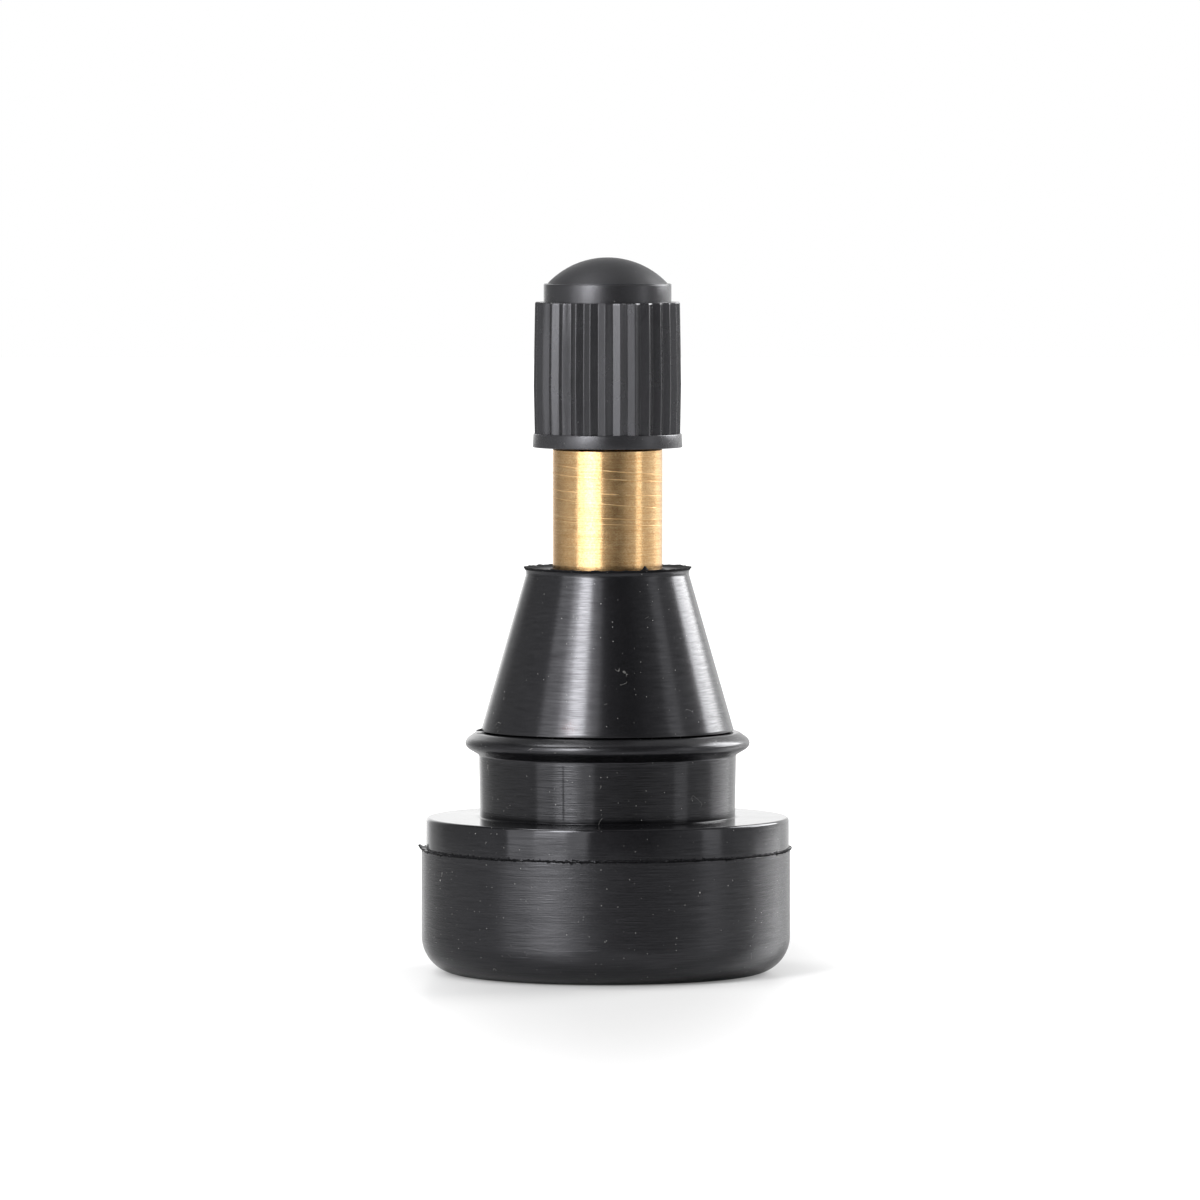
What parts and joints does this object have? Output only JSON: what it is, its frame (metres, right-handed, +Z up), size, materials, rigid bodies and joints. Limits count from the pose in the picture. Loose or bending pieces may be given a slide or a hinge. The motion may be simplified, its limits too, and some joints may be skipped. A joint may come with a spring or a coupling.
{
  "type": "tyre valve",
  "caption": "Snap-in tubeless tyre valve: rubber body on a brass stem, spring-loaded core and a ribbed screw-on dust cap.",
  "frame": {"origin": "centre of the foot, on the surface that the valve stands on", "axes": "+Z up the stem's axis towards the cap, -Y towards the front"},
  "size_m": [0.0266, 0.0266, 0.0504],
  "materials": {
    "body_rubber": "moulded black rubber, satin, with fine tool marks",
    "stem_brass": "turned, with fine tool marks round it",
    "core_brass": "turned and crimped, bright",
    "spring_steel": "drawn wire, bright",
    "gasket": "smooth red gasket",
    "seal_rubber": "matt black seal rubber",
    "cap_plastic": "moulded black plastic, satin"
  },
  "bodies": {
    "valve_body": {"rubber_body": "body_rubber", "stem": "stem_brass", "core_plug": "core_brass", "core_barrel": "core_brass", "barrel_gasket": "gasket", "core_spring": "spring_steel"},
    "pin_set": {"core_pin": "core_brass", "cup_seal": "seal_rubber", "core_cup": "core_brass"},
    "seal_disc": {"cap_seal": "seal_rubber"},
    "dust_cap": {"cap": "cap_plastic"}
  },
  "joints": [
    {"name": "cap_lift", "type": "slide", "parent": "valve_body", "child": "seal_disc", "axis": [0, 0, 1], "range_m": [0, 0.0127]},
    {"name": "cap_turn", "type": "hinge", "parent": "seal_disc", "child": "dust_cap", "pos_m": [0, 0, 0.0472], "axis": [0, 0, 1], "range_deg": [0, 5761]},
    {"name": "pin_press", "type": "slide", "parent": "valve_body", "child": "pin_set", "axis": [0, 0, -1], "range_m": [0, 0.0015], "stiffness_N_per_m": 900, "deforming": ["core_spring"]}
  ],
  "couplings": [
    {"joint": "cap_turn", "follows": "cap_lift", "rad_per_m": 7915.8}
  ]
}
